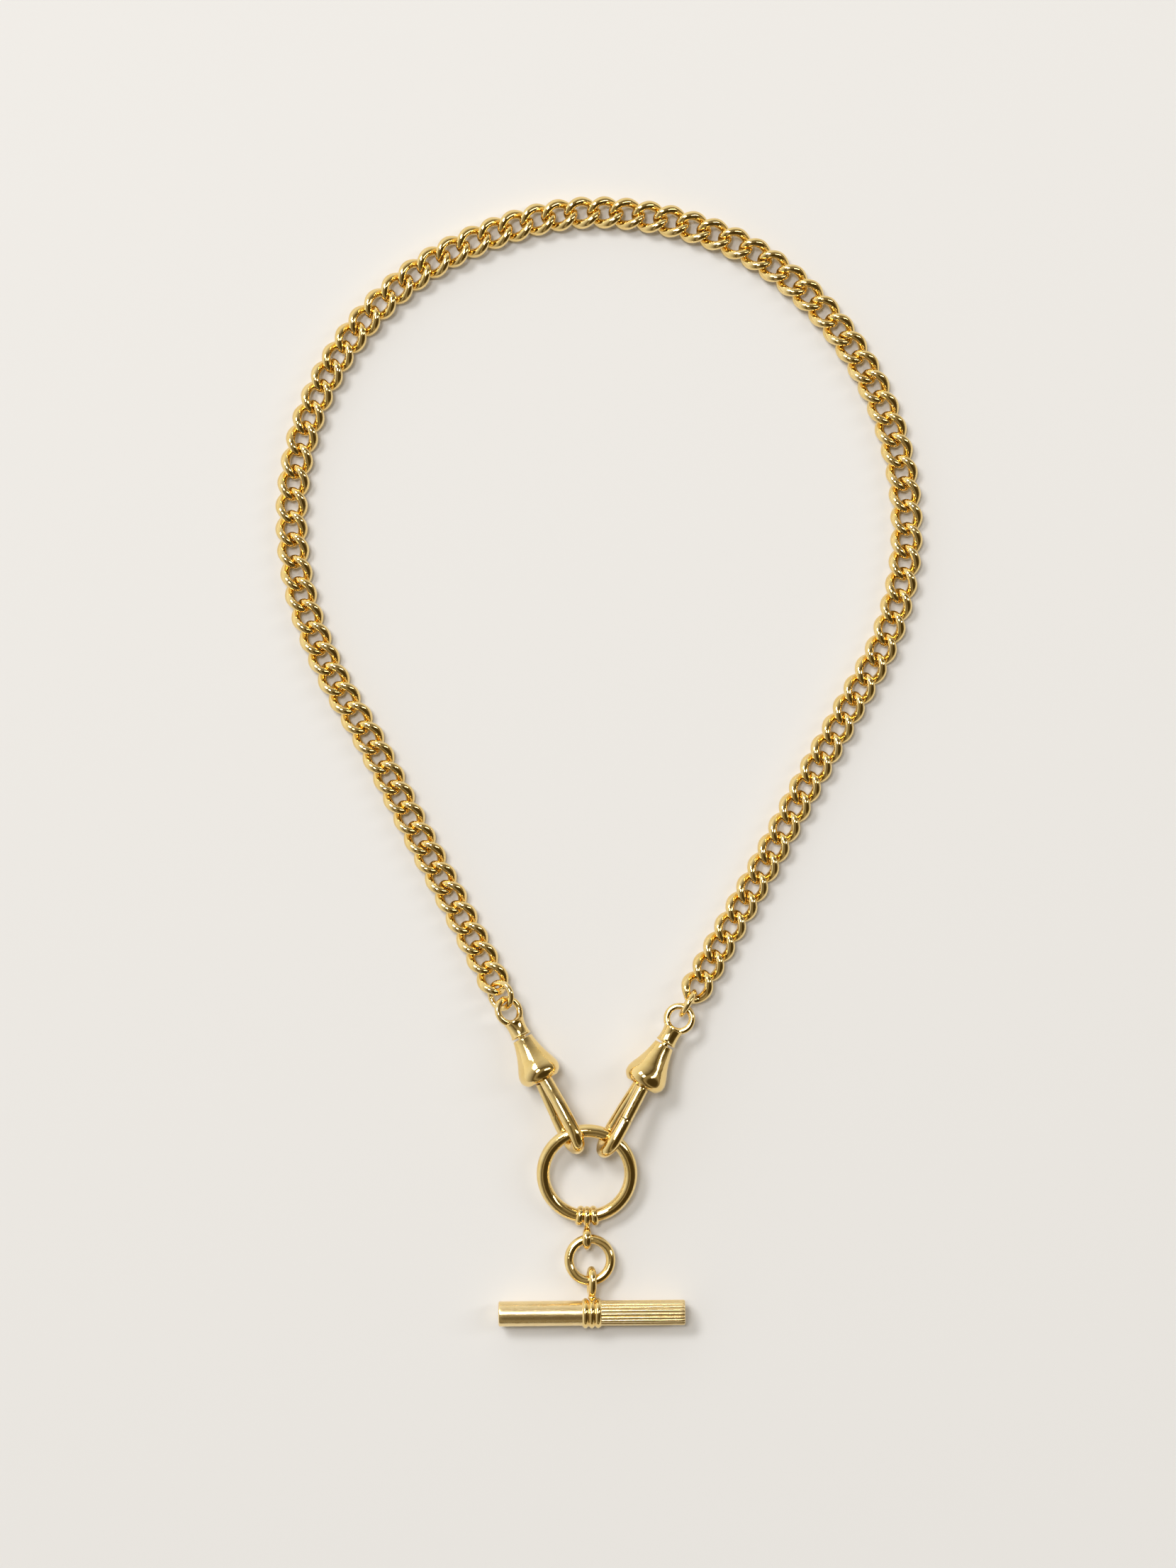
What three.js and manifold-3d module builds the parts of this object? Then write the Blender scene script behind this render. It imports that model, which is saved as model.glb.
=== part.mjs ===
// Curb-link neck chain closed by two swivel hook clasps on a large ring, with a T-bar pendant.
// Millimetres. The necklace lies flat: +Y runs from the T-bar up to the crown of the chain, +X is to
// the right of it seen from above, and +Z is up. The origin is the middle of the outline, on the
// surface that the necklace lies on.
import * as THREE from "three";
import { mergeVertices } from "three/addons/utils/BufferGeometryUtils.js";
import Module from "manifold-3d";

const wasm = await Module();
wasm.setup();

const DEGREE = Math.PI / 180;
const X_AXIS = new THREE.Vector3(1, 0, 0);
const UP = new THREE.Vector3(0, 0, 1);

// ---- driving dimensions ----

const curb = {
  wire: 0.78, // wire radius where the links cross
  shoulder: 0.26, // how much thicker the wire is at the sides, as a share of its radius
  halfWidth: 2.36, // wire centre, across the chain
  endTwist: 50 * DEGREE, // each end leaves the plane of the link by this much
  height: 1.57, // middle of the chain above the surface
};
const chain = {
  links: { left: 45, right: 44 },
  runLengths: [2, 3], // links joined into one run, by turns up each side
  runsPerSide: 18,
  play: 0.12, // free gap at the joint between two runs
  bite: 0.12, // depth of the joined contact inside a run
};
const bigRing = {
  centre: new THREE.Vector3(-2.48, -84.61, 3.76),
  radius: 8.98,
  wire: 1.38,
  tilt: 8.6 * DEGREE, // the clasps hold its top up
};
const ringCollar = { inner: 1.56, outer: 2.05, ribs: 3, ribWidth: 1.6, ribTurn: 9.6 * DEGREE };
const collarLink = { radius: 1.86, wire: 0.56, swell: 0.65, drop: 4.52 };
const smallRing = { radius: 4.27, wire: 0.98, top: 2.45, bottom: 3.05, x: -1.9, y: -98.15 };
const bar = {
  centre: new THREE.Vector3(-1.49, -113.3, 3.1),
  turn: 0.5 * DEGREE,
  length: 38.3,
  radius: 2.58,
  chamfer: 0.25,
  flutes: 18,
  fluteDepth: 0.24,
  halfGap: 0.03,
};
const barCollar = { inner: 2.7, outer: 3.1, ribs: 3, ribWidth: 1.3 };
const barLoop = { halfLength: 2.45, halfWidth: 1.9, wire: 0.75, turn: 8 * DEGREE, drop: 6.4 };
const clasp = {
  rootWire: 1.37, // wire radius at the bell
  bendWire: 1.45, // wire radius round the bend of the hook
  bendRadius: 3.2, // wire centre, round the bend of the hook
  bendAt: 0.2, // bend centre, from the middle of the ring wire that it grips
  rootRise: 1.6, // wire centre of each leg, from the axis, at the bell
  seam: 4.8, // where the nose meets the gate
  mouth: 12.35,
  plugStart: 12.7,
  plugEnd: 15.2,
  plugRadius: 2.85,
  hinge: 13.9,
  bellTop: 21.9,
  cuffStart: 22.35,
  cuffEnd: 25.9,
  eye: 28.1,
  eyeRadius: 2.58,
  eyeWire: 0.72,
};
const jump = { radius: 2.65, wire: 0.65, eyePlay: 0.2, linkPlay: 0.42 };

// Where each clasp grips the large ring, which way it and its jump ring point in plan, and how the
// spine of the hook, the eye and the jump ring are rolled about that line
const sides = {
  left: {
    grip: -22.4 * DEGREE,
    heading: [-0.449, 0.8935],
    fall: 2.5 * DEGREE, // the eye end lies lower than the hook end
    spineRoll: -18.8 * DEGREE,
    eyeRoll: -36 * DEGREE,
    jumpHeading: [-0.455, 0.89],
    jumpRoll: 36 * DEGREE,
  },
  right: {
    grip: 33.4 * DEGREE,
    heading: [0.498, 0.867],
    fall: 2.05 * DEGREE,
    spineRoll: 168 * DEGREE,
    eyeRoll: 8 * DEGREE,
    jumpHeading: [0.49, 0.872],
    jumpRoll: 90 * DEGREE,
  },
};
const jumpHeight = 3.2;
const descent = 16; // length of chain over which it comes down from a jump ring to the surface

// Plan course of the chain between its jump rings, from left to right over the crown
const course = [
  [-29.2, -30.4], [-37.8, -14.1], [-47.0, 3.9], [-55.6, 18.9], [-61.5, 35.1], [-63.2, 52.5],
  [-59.9, 70.0], [-51.7, 86.1], [-39.0, 99.2], [-22.9, 108.0], [-5.0, 112.6], [13.6, 111.2],
  [31.0, 104.8], [45.4, 93.2], [55.8, 78.3], [61.8, 61.4], [63.1, 43.7], [59.4, 26.5],
  [51.4, 11.0], [42.5, -5.2], [34.0, -21.4], [26.0, -35.8],
];

// ---- materials ----

const polishedGold = { color: 0xd9a638, roughness: 0.14, metalness: 1 };
const satinGold = { color: 0xd6ab4c, roughness: 0.3, metalness: 1 };
const springSteel = { color: 0x9c9a94, roughness: 0.35, metalness: 1 };

function piece(name, geometry, finish = polishedGold) {
  const mesh = new THREE.Mesh(geometry, new THREE.MeshStandardMaterial(finish));
  mesh.name = name;
  return mesh;
}

// ---- solids ----

function toSolid(geometry, matrix = new THREE.Matrix4()) {
  const bare = geometry.clone();
  bare.deleteAttribute("normal");
  bare.deleteAttribute("uv");
  const merged = mergeVertices(bare, 1e-4).applyMatrix4(matrix);
  return new wasm.Manifold(new wasm.Mesh({
    numProp: 3,
    vertProperties: new Float32Array(merged.attributes.position.array),
    triVerts: new Uint32Array(merged.index.array),
  }));
}

function toGeometry(solid) {
  const mesh = solid.getMesh();
  const geometry = new THREE.BufferGeometry();
  geometry.setAttribute("position", new THREE.BufferAttribute(mesh.vertProperties, 3));
  geometry.setIndex(new THREE.BufferAttribute(mesh.triVerts, 1));
  geometry.computeVertexNormals();
  return geometry;
}

function union(solids) {
  return solids.reduce((total, solid) => total.add(solid));
}

// A wire of round section swept along a curve, whose radius depends on the share of the length passed
function sweep(curve, radiusAt, steps, facets) {
  const frames = curve.computeFrenetFrames(steps, false);
  const points = [];
  const faces = [];
  for (let i = 0; i <= steps; i++) {
    const middle = curve.getPointAt(i / steps);
    const radius = radiusAt(i / steps);
    for (let k = 0; k < facets; k++) {
      const angle = (2 * Math.PI * k) / facets;
      const point = middle.clone().addScaledVector(frames.normals[i], radius * Math.cos(angle));
      points.push(...point.addScaledVector(frames.binormals[i], radius * Math.sin(angle)));
      if (i === 0) continue;
      const here = i * facets + k;
      const next = i * facets + ((k + 1) % facets);
      faces.push(here, here - facets, next, next, here - facets, next - facets);
    }
  }
  const last = steps * facets;
  for (let k = 1; k < facets - 1; k++) faces.push(0, k + 1, k, last, last + k, last + k + 1);
  const geometry = new THREE.BufferGeometry();
  geometry.setAttribute("position", new THREE.Float32BufferAttribute(points, 3));
  geometry.setIndex(faces);
  geometry.computeVertexNormals();
  return geometry;
}

// A profile of [distance along +X, radius] pairs turned about the X axis
function turned(profile, facets) {
  const points = profile.map(([along, radius]) => new THREE.Vector2(radius, along));
  return new THREE.LatheGeometry(points, facets).rotateZ(-Math.PI / 2);
}

function rod(radius, start, end, facets) {
  return turned([[start, 0], [start, radius], [end, radius], [end, 0]], facets);
}

// A sleeve with rounded ribs side by side on its outside
function ribbedSleeve({ inner, outer, ribWidth }, ribs, facets) {
  const end = (ribs * ribWidth) / 2;
  const valley = outer - 0.28;
  const profile = [[-end, inner], [-end, valley]];
  for (let i = 0; i < ribs; i++) {
    const start = i * ribWidth - end;
    profile.push([start + 0.25 * ribWidth, outer], [start + 0.75 * ribWidth, outer]);
    profile.push([start + ribWidth, valley]);
  }
  profile.push([end, inner], [-end, inner]);
  return turned(profile, facets);
}

// A closed loop of wire in the XY plane, longest along X, with its ends twisted apart about X. Its
// steps crowd towards the two ends by up to `crowd`. Its wire is thicker at the sides by the share
// `shoulder`, and broader along Z at the ends by the share `swell`.
function loop({
  halfLength, halfWidth, wire, shoulder = 0, swell = 0, twist = 0, crowd = 0, facets = 6, steps = 8,
}) {
  const geometry = new THREE.TorusGeometry(halfWidth, wire, facets, steps);
  const position = geometry.attributes.position;
  for (let i = 0; i < position.count; i++) {
    const even = Math.atan2(position.getY(i), position.getX(i));
    const angle = even - crowd * Math.sin(2 * even);
    const thicker = 1 + shoulder * Math.sin(angle) ** 4;
    const broader = thicker * (1 + swell * Math.cos(angle) ** 2);
    const out = thicker * (Math.hypot(position.getX(i), position.getY(i)) - halfWidth);
    const normal = new THREE.Vector2(halfWidth * Math.cos(angle), halfLength * Math.sin(angle));
    normal.normalize();
    const x = halfLength * Math.cos(angle) + out * normal.x;
    const y = halfWidth * Math.sin(angle) + out * normal.y;
    const point = new THREE.Vector3(x, y, broader * position.getZ(i));
    point.applyAxisAngle(X_AXIS, -twist * Math.cos(angle));
    position.setXYZ(i, point.x, point.y, point.z);
  }
  return geometry;
}

// Local +X along `along`, local +Y to the left of it and local +Z as near up as it can be, then
// rolled about +X. A positive roll lifts the right-hand side.
function placement(origin, along, roll = 0) {
  const x = along.clone().normalize();
  const y = new THREE.Vector3().crossVectors(UP, x).normalize();
  const z = new THREE.Vector3().crossVectors(x, y);
  const matrix = new THREE.Matrix4().makeBasis(x, y, z).setPosition(origin);
  return matrix.multiply(new THREE.Matrix4().makeRotationX(-roll));
}

// A group that stands in the given placement
function placedGroup(matrix) {
  const group = new THREE.Group();
  matrix.decompose(group.position, group.quaternion, group.scale);
  return group;
}

// ---- large ring, its collar and the link under it ----

// A point on the middle of the large ring's wire, at an angle from its top
function onBigRing(angle) {
  const point = new THREE.Vector3(Math.sin(angle), Math.cos(angle), 0);
  return point.multiplyScalar(bigRing.radius).applyAxisAngle(X_AXIS, bigRing.tilt).add(bigRing.centre);
}

function makeBigRing() {
  const mesh = piece("big_ring", new THREE.TorusGeometry(bigRing.radius, bigRing.wire, 8, 32));
  mesh.position.copy(bigRing.centre);
  mesh.rotation.x = bigRing.tilt;
  return mesh;
}

function makeRingCollar() {
  const ribs = [];
  for (let i = 0; i < ringCollar.ribs; i++) {
    const angle = Math.PI + (i - (ringCollar.ribs - 1) / 2) * ringCollar.ribTurn;
    const tangent = new THREE.Vector3(Math.cos(angle), -Math.sin(angle), 0);
    tangent.applyAxisAngle(X_AXIS, bigRing.tilt);
    ribs.push(toSolid(ribbedSleeve(ringCollar, 1, 10), placement(onBigRing(angle), tangent)));
  }
  return piece("ring_collar", toGeometry(union(ribs)));
}

// The link stands on edge, so its plane holds the Y and Z axes
function makeCollarLink() {
  const bottom = onBigRing(Math.PI);
  const { radius, wire, swell } = collarLink;
  const ring = loop({ halfLength: radius, halfWidth: radius, wire, swell, facets: 8, steps: 14 });
  const mesh = piece("collar_link", ring);
  mesh.position.set(bottom.x, bottom.y - collarLink.drop, bottom.z + 0.05);
  mesh.rotation.y = Math.PI / 2;
  return mesh;
}

function smallRingTop() {
  return new THREE.Vector3(smallRing.x, smallRing.y, smallRing.top);
}

function smallRingTilt() {
  return Math.asin((smallRing.top - smallRing.bottom) / (2 * smallRing.radius));
}

function onSmallRing(distanceDown) {
  const down = new THREE.Vector3(0, -distanceDown, 0).applyAxisAngle(X_AXIS, smallRingTilt());
  return smallRingTop().add(down);
}

function makeSmallRing() {
  const mesh = piece("small_ring", new THREE.TorusGeometry(smallRing.radius, smallRing.wire, 8, 24));
  mesh.position.copy(onSmallRing(smallRing.radius));
  mesh.rotation.x = smallRingTilt();
  return mesh;
}

// ---- T-bar ----

function makeBarLoop() {
  const { halfLength, halfWidth, wire } = barLoop;
  const geometry = loop({ halfLength, halfWidth, wire, facets: 8, steps: 14 });
  geometry.rotateX(Math.PI / 2 + barLoop.turn).rotateZ(Math.PI / 2);
  const mesh = piece("t_bar_loop", geometry);
  mesh.position.set(0, barLoop.drop, 0);
  return mesh;
}

function makeBarCollar() {
  return piece("t_bar_collar", ribbedSleeve(barCollar, barCollar.ribs, 18));
}

function makeSmoothHalf() {
  const { length, radius, chamfer, halfGap } = bar;
  const end = -length / 2;
  const profile = [
    [end, 0], [end, radius - chamfer], [end + chamfer, radius], [-halfGap, radius], [-halfGap, 0],
  ];
  return piece("t_bar_smooth_half", turned(profile, 24), satinGold);
}

function makeFlutedHalf() {
  const { length, radius, flutes, fluteDepth, halfGap } = bar;
  const corners = [];
  for (let i = 0; i < 2 * flutes; i++) {
    const angle = (Math.PI * (i + 0.5)) / flutes;
    const reach = i % 2 === 0 ? radius : radius - fluteDepth;
    corners.push(new THREE.Vector2(reach * Math.cos(angle), reach * Math.sin(angle)));
  }
  const depth = length / 2 - halfGap;
  const geometry = new THREE.ExtrudeGeometry(new THREE.Shape(corners), { depth, bevelEnabled: false });
  geometry.rotateY(Math.PI / 2).translate(halfGap, 0, 0);
  return piece("t_bar_fluted_half", geometry, satinGold);
}

function makeBar() {
  const group = new THREE.Group();
  group.position.copy(bar.centre);
  group.rotation.z = bar.turn;
  group.add(makeBarLoop(), makeBarCollar(), makeSmoothHalf(), makeFlutedHalf());
  return group;
}

// ---- swivel hook clasp: local +X from the hook to the eye, local +Z towards the spine ----

// Spine from the bell, round the bend and back up the nose to the seam with the gate
function hookCurve() {
  const { bendAt, bendRadius, rootRise, plugStart, seam } = clasp;
  const points = [
    [plugStart + 1.4, rootRise - 0.05], [plugStart, rootRise + 0.05], [9.8, 2.15], [6.8, 2.75], [3.4, 3.12],
  ];
  for (let angle = 90; angle <= 270; angle += 22.5) {
    const turn = angle * DEGREE;
    points.push([bendAt + bendRadius * Math.cos(turn), bendRadius * Math.sin(turn)]);
  }
  points.push([2.8, -3.14], [seam, -2.92]);
  return new THREE.CatmullRomCurve3(points.map(([x, z]) => new THREE.Vector3(x, 0, z)), false, "centripetal");
}

// Radius of the hook's wire, which swells from the bell up to the bend
function hookWire(share) {
  return THREE.MathUtils.lerp(clasp.rootWire, clasp.bendWire, Math.min(1, share / 0.4));
}

// Slot in the root plug for the gate's tongue, open to the bend side and the rim
function tongueSlot() {
  const slot = new THREE.BoxGeometry(3, 1.9, 3.1);
  return toSolid(slot.translate(clasp.plugEnd - 0.2 - 1.5, 0.2, -0.12 - 1.55));
}

function pinHole(radius) {
  const hole = new THREE.CylinderGeometry(radius, radius, 8, 8);
  return toSolid(hole.translate(clasp.hinge, 0, -clasp.rootRise));
}

function makeHook() {
  const { plugStart, plugEnd, plugRadius } = clasp;
  const spine = toSolid(sweep(hookCurve(), hookWire, 20, 8));
  const plug = toSolid(rod(plugRadius, plugStart, plugEnd, 12));
  return toGeometry(plug.subtract(tongueSlot()).add(spine).subtract(pinHole(0.46)));
}

// Straight wire from the seam to the bell, with a flat tongue on the hinge pin
function makeGate() {
  const { seam, plugStart, rootWire, bendWire, rootRise, hinge } = clasp;
  const start = new THREE.Vector3(seam + 0.1, 0, -2.89);
  const end = new THREE.Vector3(plugStart - 0.7, 0, -rootRise - 0.12);
  const wireAt = (share) => THREE.MathUtils.lerp(bendWire, rootWire, share) - 0.02;
  const arm = toSolid(sweep(new THREE.LineCurve3(start, end), wireAt, 1, 8));
  const tongueEnds = [end.x - 0.5, hinge + 0.6];
  const tongue = new THREE.BoxGeometry(tongueEnds[1] - tongueEnds[0], 1.1, 1.4);
  tongue.translate((tongueEnds[0] + tongueEnds[1]) / 2, -0.1, -rootRise);
  return toGeometry(arm.add(toSolid(tongue)).subtract(pinHole(0.46)));
}

function makeGatePin() {
  const pin = new THREE.CylinderGeometry(0.37, 0.37, 4.3, 8);
  return pin.translate(clasp.hinge, 0, -clasp.rootRise);
}

// Torsion coil round the hinge pin, beside the tongue
function makeGateSpring() {
  const turns = 1.6;
  const points = [];
  for (let i = 0; i <= 14; i++) {
    const angle = (i / 14) * turns * 2 * Math.PI;
    const coil = new THREE.Vector3(0.62 * Math.cos(angle), 0.62 + (i / 14) * 0.36, 0.62 * Math.sin(angle));
    points.push(coil.add(new THREE.Vector3(clasp.hinge, 0, -clasp.rootRise)));
  }
  return sweep(new THREE.CatmullRomCurve3(points), () => 0.1, 18, 5);
}

function makeBell() {
  const { mouth, bellTop } = clasp;
  const profile = [
    [bellTop, 0.95], [bellTop, 2.0], [bellTop - 0.25, 2.12], [19.6, 2.62], [17.4, 3.3], [15.6, 4.05],
    [14.5, 4.36], [13.6, 4.32], [12.8, 3.85], [mouth, 3.35], [mouth, 3.12], [15.5, 3.06],
    [18.3, 1.85], [20.7, 1.6], [20.7, 0.95], [bellTop, 0.95],
  ];
  return turned(profile.reverse(), 14);
}

function makeRivet() {
  const profile = [[19.7, 0], [19.7, 1.25], [20.4, 1.25], [20.4, 0.78], [23.9, 0.78], [23.9, 0]];
  return turned(profile, 12);
}

function makeEye() {
  const { cuffStart, cuffEnd, eye, eyeRadius, eyeWire } = clasp;
  const profile = [
    [cuffStart, 0.95], [cuffStart, 2.0], [cuffStart + 0.2, 2.1], [24.1, 1.88], [cuffEnd - 0.2, 2.16],
    [cuffEnd, 2.05], [cuffEnd, 0], [24.2, 0], [24.2, 0.95], [cuffStart, 0.95],
  ];
  const cuff = toSolid(turned(profile, 12));
  const ring = new THREE.TorusGeometry(eyeRadius, eyeWire, 8, 20).translate(eye, 0, 0);
  return toGeometry(cuff.add(toSolid(ring)));
}

function axisOf(side) {
  const [x, y] = sides[side].heading;
  return new THREE.Vector3(x, y, -Math.tan(sides[side].fall) * Math.hypot(x, y)).normalize();
}

function makeClasp(side) {
  const { grip, spineRoll, eyeRoll } = sides[side];
  const body = placedGroup(placement(onBigRing(grip), axisOf(side), spineRoll));
  const eye = placedGroup(placement(onBigRing(grip), axisOf(side), eyeRoll));
  body.add(
    piece(`${side}_hook`, makeHook()),
    piece(`${side}_gate`, makeGate()),
    piece(`${side}_gate_pin`, makeGatePin()),
    piece(`${side}_gate_spring`, makeGateSpring(), springSteel),
    piece(`${side}_bell`, makeBell()),
  );
  eye.add(piece(`${side}_swivel_eye`, makeEye()), piece(`${side}_swivel_rivet`, makeRivet()));
  return [body, eye];
}

// ---- jump rings and the curb chain ----

function eyeCentre(side) {
  return onBigRing(sides[side].grip).addScaledVector(axisOf(side), clasp.eye);
}

function jumpCentre(side) {
  const reach = clasp.eyeRadius - clasp.eyeWire + jump.radius - jump.wire - jump.eyePlay;
  const eye = eyeCentre(side);
  const level = Math.sqrt(reach ** 2 - (jumpHeight - eye.z) ** 2);
  const [x, y] = sides[side].jumpHeading;
  return new THREE.Vector3(eye.x + level * x, eye.y + level * y, jumpHeight);
}

// Plan curve of the chain, from one jump ring to the other
function planCurve() {
  const ends = [jumpCentre("left"), jumpCentre("right")].map(({ x, y }) => new THREE.Vector3(x, y, 0));
  const middle = course.map(([x, y]) => new THREE.Vector3(x, y, 0));
  const curve = new THREE.CatmullRomCurve3([ends[0], ...middle, ends[1]], false, "catmullrom", 0.5);
  curve.arcLengthDivisions = 1200;
  return curve;
}

// The point that lies the given length along the chain's course, lifted near the jump rings
function onCourse(curve, along) {
  const length = curve.getLength();
  const point = curve.getPointAt(THREE.MathUtils.clamp(along / length, 0, 1));
  const toEnd = Math.max(0, Math.min(along, length - along));
  const lift = Math.max(0, 1 - toEnd / descent) ** 2;
  point.z = curb.height + lift * (jumpHeight - curb.height);
  return point;
}

// Links per run on one side, from the clasp to the crown
function runLengths(side) {
  const lengths = [];
  let left = chain.links[side];
  for (let i = 0; i < chain.runsPerSide; i++) {
    const runsAfter = chain.runsPerSide - i - 1;
    const wanted = chain.runLengths[i % chain.runLengths.length];
    lengths.push(Math.min(wanted, left - runsAfter * chain.runLengths[0]));
    left -= lengths[i];
  }
  return lengths;
}

// Every link from left to right: its run, its centre and its direction
function layLinks() {
  const left = runLengths("left").map((count, i) => ({ side: "left", run: i + 1, count }));
  const right = runLengths("right").map((count, i) => ({ side: "right", run: i + 1, count }));
  const runs = [...left, ...right.reverse()];
  const links = runs.flatMap((run) => Array.from({ length: run.count }, () => run));
  const slack = links.map((run, i) => (run === links[i - 1] ? chain.bite : -chain.play));
  const totalSlack = slack.slice(1).reduce((sum, each) => sum + each, 0);

  // Each end link reaches from the jump ring's inside face to half its own inner length
  const curve = planCurve();
  const jumpReach = jump.radius - jump.wire - jump.linkPlay;
  const halfInner = (curve.getLength() - 2 * jumpReach - totalSlack) / (2 * links.length);
  let along = jumpReach + halfInner;
  const laid = links.map((run, i) => {
    if (i > 0) along += 2 * halfInner + slack[i];
    const step = onCourse(curve, along + 1).sub(onCourse(curve, along - 1));
    return { run, centre: onCourse(curve, along), along: step.normalize() };
  });
  return { laid, halfInner };
}

function makeJumpRing(side, endLink) {
  const centre = jumpCentre(side);
  const along = endLink.clone().sub(eyeCentre(side));
  const group = placedGroup(placement(centre, along, sides[side].jumpRoll));
  group.add(piece(`${side}_jump_ring`, new THREE.TorusGeometry(jump.radius, jump.wire, 8, 20)));
  return group;
}

function makeChain() {
  const { laid, halfInner } = layLinks();
  const { halfWidth, wire, shoulder, endTwist: twist } = curb;
  const link = loop({ halfLength: halfInner + wire, halfWidth, wire, shoulder, twist, crowd: 14 * DEGREE });
  const runs = new Map();
  for (const { run, centre, along } of laid) {
    const solid = toSolid(link, placement(centre, along));
    runs.set(run, runs.has(run) ? runs.get(run).add(solid) : solid);
  }
  const meshes = [];
  for (const [{ side, run }, solid] of runs) {
    meshes.push(piece(`${side}_chain_${String(run).padStart(2, "0")}`, toGeometry(solid)));
  }
  const jumps = [makeJumpRing("left", laid[0].centre), makeJumpRing("right", laid.at(-1).centre)];
  return [...jumps, ...meshes];
}

// ---- necklace, moved so that the middle of its outline is the origin ----

const necklace = new THREE.Group();
necklace.add(makeBigRing(), makeRingCollar(), makeCollarLink(), makeSmallRing(), makeBar());
necklace.add(...makeClasp("left"), ...makeClasp("right"), ...makeChain());

necklace.updateMatrixWorld(true);
const outline = new THREE.Box3().setFromObject(necklace, true);
const middle = outline.getCenter(new THREE.Vector3());
necklace.position.set(-middle.x, -middle.y, -outline.min.z);

export default necklace;
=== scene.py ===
"""Looks of the curb-link necklace: a fine mesh and a metal finish for every piece of the frame.

Sizes are in millimetres, in the frame's own axes, and become metres when a mesh is made. The camera and
the lights are in metres.
"""

import math
import random

import bmesh
import bpy
import numpy as np
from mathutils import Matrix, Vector


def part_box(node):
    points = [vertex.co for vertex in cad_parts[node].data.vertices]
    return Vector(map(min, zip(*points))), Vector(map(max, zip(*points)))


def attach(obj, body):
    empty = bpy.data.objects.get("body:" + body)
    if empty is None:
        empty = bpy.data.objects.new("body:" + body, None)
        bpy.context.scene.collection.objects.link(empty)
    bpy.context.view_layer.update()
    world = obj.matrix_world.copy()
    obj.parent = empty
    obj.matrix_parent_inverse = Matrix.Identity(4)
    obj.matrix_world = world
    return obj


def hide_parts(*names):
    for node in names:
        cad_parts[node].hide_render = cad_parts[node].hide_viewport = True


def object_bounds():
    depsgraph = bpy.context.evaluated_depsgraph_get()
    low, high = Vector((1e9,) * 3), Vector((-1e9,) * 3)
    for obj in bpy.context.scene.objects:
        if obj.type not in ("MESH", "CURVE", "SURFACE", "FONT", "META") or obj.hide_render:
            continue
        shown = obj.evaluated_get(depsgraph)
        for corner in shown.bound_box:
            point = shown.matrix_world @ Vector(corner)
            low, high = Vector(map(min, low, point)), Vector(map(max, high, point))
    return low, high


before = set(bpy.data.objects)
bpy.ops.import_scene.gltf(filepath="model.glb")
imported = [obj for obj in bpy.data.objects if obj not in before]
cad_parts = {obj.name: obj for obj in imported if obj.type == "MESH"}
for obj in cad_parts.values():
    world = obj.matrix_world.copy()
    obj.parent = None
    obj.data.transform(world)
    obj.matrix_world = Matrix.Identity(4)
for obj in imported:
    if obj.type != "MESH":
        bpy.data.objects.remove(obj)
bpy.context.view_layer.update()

MM = 0.001
UP = np.array([0.0, 0.0, 1.0])
IDENTITY = np.eye(4)
WELD = 1e-8  # points of a mesh nearer than this, in metres, become one

# ---- dimensions ----

LINK_WIRE = 0.78  # wire radius where the links cross
LINK_SHOULDER = 0.3  # how much thicker the wire is at the sides
LINK_HALF_WIDTH = 2.33  # wire centre, across the chain
LINK_END_TWIST = math.radians(50)
LINK_ROLL = 1.2  # degrees that a link is turned about the chain at most, at random
LINK_LUCK = 11
CHAIN_HEIGHT = 1.57
CHAIN_LINKS = {"left": 45, "right": 44}
RUN_LENGTHS = (2, 3)
RUNS_PER_SIDE = 18
RUN_PLAY = 0.12
RUN_BITE = 0.12

RING_CENTRE = np.array([-2.48, -84.61, 3.76])
RING_RADIUS = 8.98
RING_WIRE = 1.36
RING_TILT = math.radians(8.6)
RING_COLLAR = {"inner": 1.5, "outer": 2.08, "rib": 1.52, "turn": math.radians(9.6)}
COLLAR_LINK = {"radius": 1.86, "wire": 0.56, "swell": 0.62, "drop": 4.52}
SMALL_RING = {"radius": 4.27, "wire": 0.98, "top": 2.45, "bottom": 3.05, "x": -1.9, "y": -98.15}

BAR_CENTRE = np.array([-1.49, -113.3, 3.1])
BAR_TURN = math.radians(0.5)
BAR_HALF_LENGTH = 19.15
BAR_RADIUS = 2.58
BAR_EDGE = 0.32
BAR_FLUTES = 18
BAR_FLUTE_DEPTH = 0.2
BAR_SEAM = 0.03  # each half stops this short of the middle
BAR_COLLAR = {"inner": 2.5, "outer": 3.1, "rib": 1.3, "groove": 0.36}
BEAD_LUMPS = 14
BAR_LOOP = {"half_length": 2.45, "half_width": 1.9, "wire": 0.79, "turn": math.radians(8), "drop": 6.4}

HOOK_ROOT_WIRE = 1.37
HOOK_BEND_WIRE = 1.39
BEND_RADIUS = 3.26
BEND_AT = 0.2
ROOT_RISE = 1.6
GATE_SEAM = 4.8
GATE_GAP = 0.07
BELL_MOUTH = 12.35
PLUG_START = 12.7
PLUG_END = 15.2
PLUG_RADIUS = 2.85
GATE_HINGE = 13.9
PIN_RADIUS = 0.37
PIN_HOLE_RADIUS = 0.44
BELL_TOP = 21.9
CUFF_START = 22.35
CUFF_END = 25.9
EYE_AT = 28.1
EYE_RADIUS = 2.58
EYE_WIRE = 0.72
JUMP_RADIUS = 2.65
JUMP_WIRE = 0.65
JUMP_CUT = 0.045  # half the gap where a jump ring is cut open
JUMP_CUT_AT = math.radians(70)
WIRE_CLEARANCE = 0.04  # taken off the eye and jump ring wires, so they stay clear at the joint limits
EYE_PLAY = 0.2
LINK_PLAY = 0.42
JUMP_HEIGHT = 3.2
DESCENT = 16  # length of chain over which it comes down from a jump ring

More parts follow.
